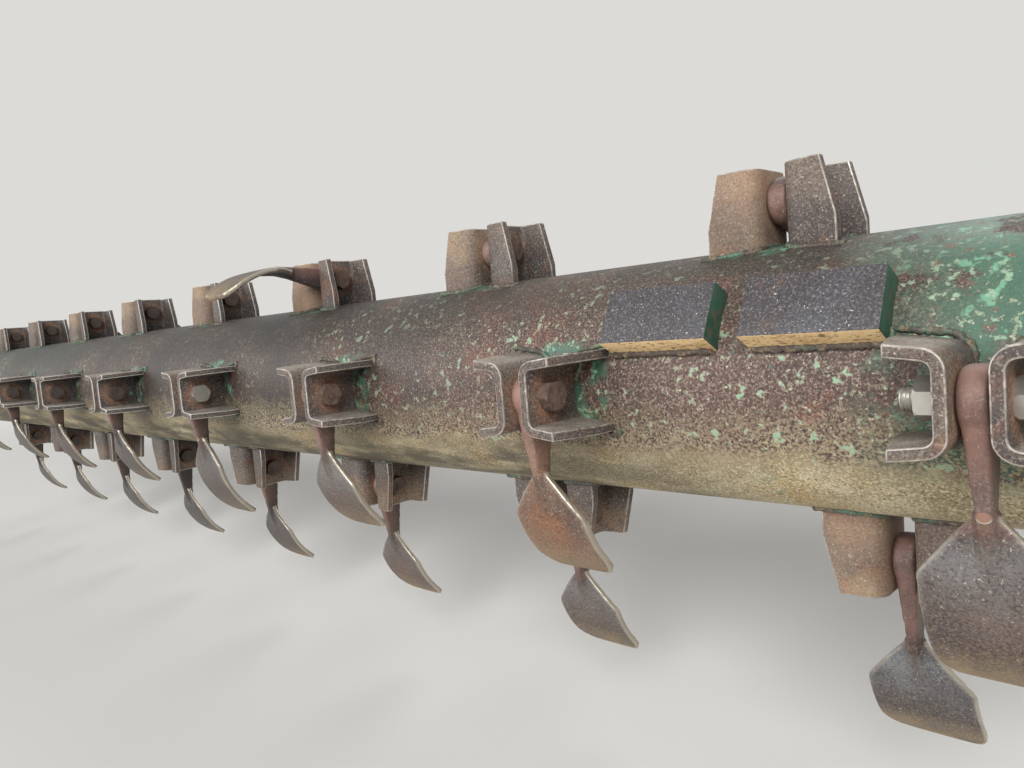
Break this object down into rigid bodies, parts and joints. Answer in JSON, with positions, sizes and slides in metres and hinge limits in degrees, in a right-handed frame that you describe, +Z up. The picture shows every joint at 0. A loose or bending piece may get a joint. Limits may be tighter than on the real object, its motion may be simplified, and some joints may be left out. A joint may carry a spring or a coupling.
{
  "type": "mulcher flail rotor",
  "caption": "Flail rotor off a tractor mulcher: worn tube with rows of bent lugs, curved flails hinged on bolts, balance blocks and flanged bearing housings.",
  "frame": {"origin": "centre of the right-hand bearing flange, on the face that meets the side plate", "axes": "+X along the shaft to the right-hand end, +Z up, -Y to the side that the picture shows"},
  "size_m": [3.075, 0.3668, 0.5024],
  "materials": {
    "tube_paint": "green paint worn to rust, with dried mud",
    "lug_steel": "worn steel with remnants of green paint",
    "flail_steel": "forged, rusty, bright worn edges",
    "bolt_steel": "rusty",
    "block_steel": "dark worn paint",
    "shaft_steel": "machined, dull",
    "housing_iron": "green paint, worn"
  },
  "bodies": {
    "housings": {"bearing_housing_left": "housing_iron", "bearing_housing_right": "housing_iron"},
    "rotor": {"rotor_tube": "tube_paint", "shaft_end_left": "shaft_steel", "shaft_end_right": "shaft_steel", "balance_blocks": "block_steel", "flail_lugs_front": "lug_steel", "flail_bolts_front": "bolt_steel", "flail_lugs_bottom": "lug_steel", "flail_bolts_bottom": "bolt_steel", "flail_lugs_top": "lug_steel", "flail_bolts_top": "bolt_steel", "flail_11": "flail_steel", "flail_lugs_back": "lug_steel", "flail_bolts_back": "bolt_steel"},
    "flail_01": {"flail_01": "flail_steel"},
    "flail_05": {"flail_05": "flail_steel"},
    "flail_09": {"flail_09": "flail_steel"},
    "flail_13": {"flail_13": "flail_steel"},
    "flail_17": {"flail_17": "flail_steel"},
    "flail_21": {"flail_21": "flail_steel"},
    "flail_25": {"flail_25": "flail_steel"},
    "flail_29": {"flail_29": "flail_steel"},
    "flail_02": {"flail_02": "flail_steel"},
    "flail_06": {"flail_06": "flail_steel"},
    "flail_10": {"flail_10": "flail_steel"},
    "flail_14": {"flail_14": "flail_steel"},
    "flail_18": {"flail_18": "flail_steel"},
    "flail_22": {"flail_22": "flail_steel"},
    "flail_26": {"flail_26": "flail_steel"},
    "flail_30": {"flail_30": "flail_steel"},
    "flail_03": {"flail_03": "flail_steel"},
    "flail_07": {"flail_07": "flail_steel"},
    "flail_15": {"flail_15": "flail_steel"},
    "flail_19": {"flail_19": "flail_steel"},
    "flail_23": {"flail_23": "flail_steel"},
    "flail_27": {"flail_27": "flail_steel"},
    "flail_31": {"flail_31": "flail_steel"},
    "flail_04": {"flail_04": "flail_steel"},
    "flail_08": {"flail_08": "flail_steel"},
    "flail_12": {"flail_12": "flail_steel"},
    "flail_16": {"flail_16": "flail_steel"},
    "flail_20": {"flail_20": "flail_steel"},
    "flail_24": {"flail_24": "flail_steel"},
    "flail_28": {"flail_28": "flail_steel"},
    "flail_32": {"flail_32": "flail_steel"}
  },
  "joints": [
    {"name": "rotor_spin", "type": "hinge", "parent": "housings", "child": "rotor", "pos_m": [0, 0, 0], "axis": [1, 0, 0], "continuous": true},
    {"name": "flail_01_swing", "type": "hinge", "parent": "rotor", "child": "flail_01", "pos_m": [-0.147, -0.14378, 0.02535], "axis": [1, 0, 0], "range_deg": [-217, 12]},
    {"name": "flail_02_swing", "type": "hinge", "parent": "rotor", "child": "flail_02", "pos_m": [-0.232, -0.02535, -0.14378], "axis": [1, 0, 0], "range_deg": [-125, 119]},
    {"name": "flail_03_swing", "type": "hinge", "parent": "rotor", "child": "flail_03", "pos_m": [-0.317, 0.02535, 0.14378], "axis": [1, 0, 0], "range_deg": [0, 235]},
    {"name": "flail_04_swing", "type": "hinge", "parent": "rotor", "child": "flail_04", "pos_m": [-0.402, 0.14378, -0.02535], "axis": [1, 0, 0], "range_deg": [-35, 194]},
    {"name": "flail_05_swing", "type": "hinge", "parent": "rotor", "child": "flail_05", "pos_m": [-0.487, -0.14378, 0.02535], "axis": [1, 0, 0], "range_deg": [-215, 14]},
    {"name": "flail_06_swing", "type": "hinge", "parent": "rotor", "child": "flail_06", "pos_m": [-0.572, -0.02535, -0.14378], "axis": [1, 0, 0], "range_deg": [-125, 119]},
    {"name": "flail_07_swing", "type": "hinge", "parent": "rotor", "child": "flail_07", "pos_m": [-0.657, 0.02535, 0.14378], "axis": [1, 0, 0], "range_deg": [0, 245]},
    {"name": "flail_08_swing", "type": "hinge", "parent": "rotor", "child": "flail_08", "pos_m": [-0.742, 0.14378, -0.02535], "axis": [1, 0, 0], "range_deg": [-35, 194]},
    {"name": "flail_09_swing", "type": "hinge", "parent": "rotor", "child": "flail_09", "pos_m": [-0.827, -0.14378, 0.02535], "axis": [1, 0, 0], "range_deg": [-215, 14]},
    {"name": "flail_10_swing", "type": "hinge", "parent": "rotor", "child": "flail_10", "pos_m": [-0.912, -0.02535, -0.14378], "axis": [1, 0, 0], "range_deg": [-125, 119]},
    {"name": "flail_12_swing", "type": "hinge", "parent": "rotor", "child": "flail_12", "pos_m": [-1.082, 0.14378, -0.02535], "axis": [1, 0, 0], "range_deg": [-35, 194]},
    {"name": "flail_13_swing", "type": "hinge", "parent": "rotor", "child": "flail_13", "pos_m": [-1.167, -0.14378, 0.02535], "axis": [1, 0, 0], "range_deg": [-217, 12]},
    {"name": "flail_14_swing", "type": "hinge", "parent": "rotor", "child": "flail_14", "pos_m": [-1.252, -0.02535, -0.14378], "axis": [1, 0, 0], "range_deg": [-125, 119]},
    {"name": "flail_15_swing", "type": "hinge", "parent": "rotor", "child": "flail_15", "pos_m": [-1.337, 0.02535, 0.14378], "axis": [1, 0, 0], "range_deg": [0, 245]},
    {"name": "flail_16_swing", "type": "hinge", "parent": "rotor", "child": "flail_16", "pos_m": [-1.422, 0.14378, -0.02535], "axis": [1, 0, 0], "range_deg": [-35, 194]},
    {"name": "flail_17_swing", "type": "hinge", "parent": "rotor", "child": "flail_17", "pos_m": [-1.507, -0.14378, 0.02535], "axis": [1, 0, 0], "range_deg": [-215, 14]},
    {"name": "flail_18_swing", "type": "hinge", "parent": "rotor", "child": "flail_18", "pos_m": [-1.592, -0.02535, -0.14378], "axis": [1, 0, 0], "range_deg": [-125, 119]},
    {"name": "flail_19_swing", "type": "hinge", "parent": "rotor", "child": "flail_19", "pos_m": [-1.677, 0.02535, 0.14378], "axis": [1, 0, 0], "range_deg": [0, 245]},
    {"name": "flail_20_swing", "type": "hinge", "parent": "rotor", "child": "flail_20", "pos_m": [-1.762, 0.14378, -0.02535], "axis": [1, 0, 0], "range_deg": [-35, 194]},
    {"name": "flail_21_swing", "type": "hinge", "parent": "rotor", "child": "flail_21", "pos_m": [-1.847, -0.14378, 0.02535], "axis": [1, 0, 0], "range_deg": [-215, 14]},
    {"name": "flail_22_swing", "type": "hinge", "parent": "rotor", "child": "flail_22", "pos_m": [-1.932, -0.02535, -0.14378], "axis": [1, 0, 0], "range_deg": [-125, 119]},
    {"name": "flail_23_swing", "type": "hinge", "parent": "rotor", "child": "flail_23", "pos_m": [-2.017, 0.02535, 0.14378], "axis": [1, 0, 0], "range_deg": [0, 245]},
    {"name": "flail_24_swing", "type": "hinge", "parent": "rotor", "child": "flail_24", "pos_m": [-2.102, 0.14378, -0.02535], "axis": [1, 0, 0], "range_deg": [-35, 194]},
    {"name": "flail_25_swing", "type": "hinge", "parent": "rotor", "child": "flail_25", "pos_m": [-2.187, -0.14378, 0.02535], "axis": [1, 0, 0], "range_deg": [-215, 14]},
    {"name": "flail_26_swing", "type": "hinge", "parent": "rotor", "child": "flail_26", "pos_m": [-2.272, -0.02535, -0.14378], "axis": [1, 0, 0], "range_deg": [-125, 119]},
    {"name": "flail_27_swing", "type": "hinge", "parent": "rotor", "child": "flail_27", "pos_m": [-2.357, 0.02535, 0.14378], "axis": [1, 0, 0], "range_deg": [0, 245]},
    {"name": "flail_28_swing", "type": "hinge", "parent": "rotor", "child": "flail_28", "pos_m": [-2.442, 0.14378, -0.02535], "axis": [1, 0, 0], "range_deg": [-35, 194]},
    {"name": "flail_29_swing", "type": "hinge", "parent": "rotor", "child": "flail_29", "pos_m": [-2.527, -0.14378, 0.02535], "axis": [1, 0, 0], "range_deg": [-215, 14]},
    {"name": "flail_30_swing", "type": "hinge", "parent": "rotor", "child": "flail_30", "pos_m": [-2.612, -0.02535, -0.14378], "axis": [1, 0, 0], "range_deg": [-125, 119]},
    {"name": "flail_31_swing", "type": "hinge", "parent": "rotor", "child": "flail_31", "pos_m": [-2.697, 0.02535, 0.14378], "axis": [1, 0, 0], "range_deg": [0, 245]},
    {"name": "flail_32_swing", "type": "hinge", "parent": "rotor", "child": "flail_32", "pos_m": [-2.782, 0.14378, -0.02535], "axis": [1, 0, 0], "range_deg": [-35, 194]}
  ]
}
